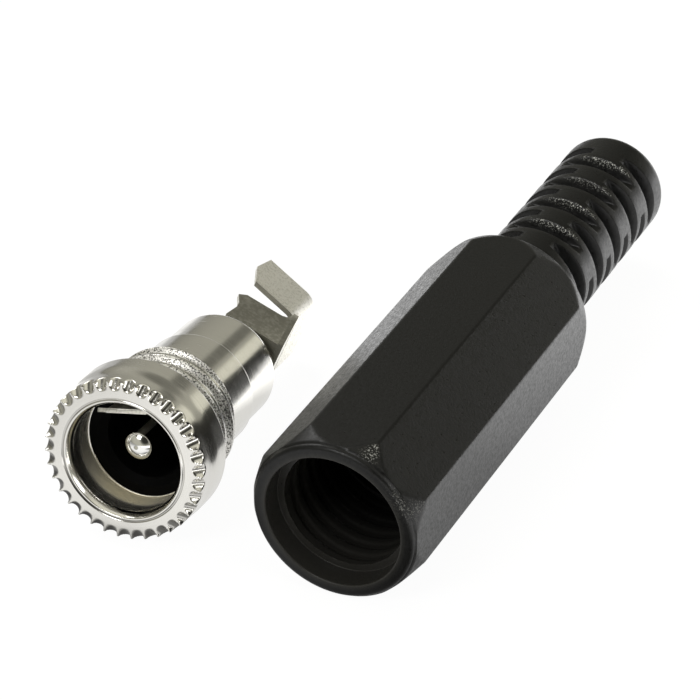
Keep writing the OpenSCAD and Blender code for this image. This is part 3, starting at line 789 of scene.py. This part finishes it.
def whitePaper():
    # Seen directly or in a mirror the paper is nearly a plain white glow; it keeps a faint shadow
    paint = bpy.data.materials.new("white_paper")
    paint.use_nodes = True
    tree = paint.node_tree
    tree.nodes.clear()
    rays = addNode(tree, "ShaderNodeLightPath").outputs
    seen = maths(tree, "MAXIMUM", rays["Is Camera Ray"], rays["Is Glossy Ray"])
    paper = addNode(tree, "ShaderNodeBsdfDiffuse", {"Color": linearColour(studio["paper"])})
    # In mirrors the paper is over-exposed behind the pieces, and dim in their shadows
    place = objectCoords(tree, 1.0)
    axes = axesOf(tree, place)
    mirrored = studio["mirrored"]
    for axis, near, far, nearLevel, farLevel in studio["fades"]:
        change = remap(tree, axes[axis], near, far, nearLevel, farLevel)
        mirrored = times(tree, mirrored, change)
    for x, y, inner, outer, level in studio["patches"]:
        away = vectorMaths(tree, "DISTANCE", place, (x, y, 0.0))
        mirrored = times(tree, mirrored, remap(tree, away, inner, outer, level, 1.0))
    links = {"Factor": rays["Is Glossy Ray"], "A": studio["glow"], "B": mirrored}
    level = addNode(tree, "ShaderNodeMix", links).outputs["Result"]
    glow = addNode(tree, "ShaderNodeEmission", {"Color": (1, 1, 1, 1), "Strength": level})
    links = {0: times(tree, seen, studio["floorShare"]), 1: paper.outputs[0], 2: glow.outputs[0]}
    blend = addNode(tree, "ShaderNodeMixShader", links)
    addNode(tree, "ShaderNodeOutputMaterial", {"Surface": blend.outputs[0]})
    return paint


reach, drop = studio["floorReach"], -studio["floorDrop"]
corners = [(x * reach, y * reach, drop) for x, y in ((-1, -1), (1, -1), (1, 1), (-1, 1))]
floorMesh = bpy.data.meshes.new("floor")
floorMesh.from_pydata(corners, [], [(0, 1, 2, 3)])
floorMesh.materials.append(whitePaper())
floor = addObject("floor", floorMesh)

# The room as the metal mirrors it: grey levels by height, and round patches given by azimuth from
# straight back (to the right), elevation, radius in degrees and grey level
room = {
    "ramp": [
        (0.0, 0.12), (0.06, 0.28), (0.22, 0.35), (0.48, 0.46), (0.57, 0.17), (0.70, 0.22),
        (0.92, 0.85),
    ],
    "patches": {
        "back dip": (6.5, 24.5, 9, 0.16), "back window": (24, 12.5, 11, 0.86),
        "front": (180, 30, 60, 0.50), "photographer": (148, 33, 34, 0.03),
        "dim ceiling": (-148, 57, 24, 0.10),
    },
    "tint": (1.0, 0.98, 0.84), "patchCore": 0.45, "strength": 0.9,
}


def roomTone(level):
    return (*[level * share for share in room["tint"]], 1)


def roomLight():
    world = bpy.data.worlds.new("room")
    world.use_nodes = True
    tree = world.node_tree
    tree.nodes.clear()
    place = addNode(tree, "ShaderNodeTexCoord").outputs["Generated"]
    ramp = addNode(tree, "ShaderNodeValToRGB", {"Fac": axesOf(tree, place)["Z"]})
    stops = ramp.color_ramp.elements
    while len(stops) < len(room["ramp"]):
        stops.new(0.5)
    for stop, (at, level) in zip(stops, room["ramp"]):
        stop.position = at
        stop.color = roomTone(level)
    tone = ramp.outputs["Color"]
    for azimuth, elevation, radius, level in room["patches"].values():
        a, e = math.radians(azimuth), math.radians(elevation)
        towards = (math.sin(a) * math.cos(e), math.cos(a) * math.cos(e), math.sin(e))
        near = vectorMaths(tree, "DOT_PRODUCT", place, towards)
        outer = math.cos(math.radians(radius))
        inner = math.cos(math.radians(radius * room["patchCore"]))
        share = remap(tree, near, outer, inner, 0.0, 1.0, interpolation_type="SMOOTHSTEP")
        tone = mixColour(tree, share, tone, roomTone(level))
    light = addNode(tree, "ShaderNodeBackground", {"Color": tone, "Strength": room["strength"]})
    addNode(tree, "ShaderNodeOutputWorld", {"Surface": light.outputs[0]})
    return world


bpy.context.scene.world = roomLight()

# Soft boxes: place and side in metres, and watts
lamps = {
    "lamp_left": ((-0.35, 0.15, 0.40), 0.30, 0.9),
    "lamp_front": ((-0.10, -0.45, 0.42), 0.20, 1.1),
    "lamp_right": ((0.45, -0.05, 0.30), 0.25, 0.5),
}
for name, (position, side, watts) in lamps.items():
    lamp = bpy.data.lights.new(name, "AREA")
    lamp.shape = "RECTANGLE"
    lamp.size = lamp.size_y = side
    lamp.energy = watts
    lampObj = addObject(name, lamp)
    lampObj.location = position
    lampObj.rotation_euler = (-Vector(position)).to_track_quat("-Z", "Y").to_euler()

camera = bpy.data.cameras.new("camera")
camera.lens = studio["lens"]
camera.sensor_width = studio["sensor"]
camera.clip_start = studio["clip"]
cameraObj = addObject("camera", camera)
cameraObj.location = Vector(studio["camera"]) * mm
sight = Vector(studio["target"]) - Vector(studio["camera"])
cameraObj.rotation_euler = sight.to_track_quat("-Z", "Y").to_euler()
bpy.context.scene.camera = cameraObj
bpy.context.scene.view_settings.view_transform = "Standard"

bpy.context.view_layer.update()
print("done")
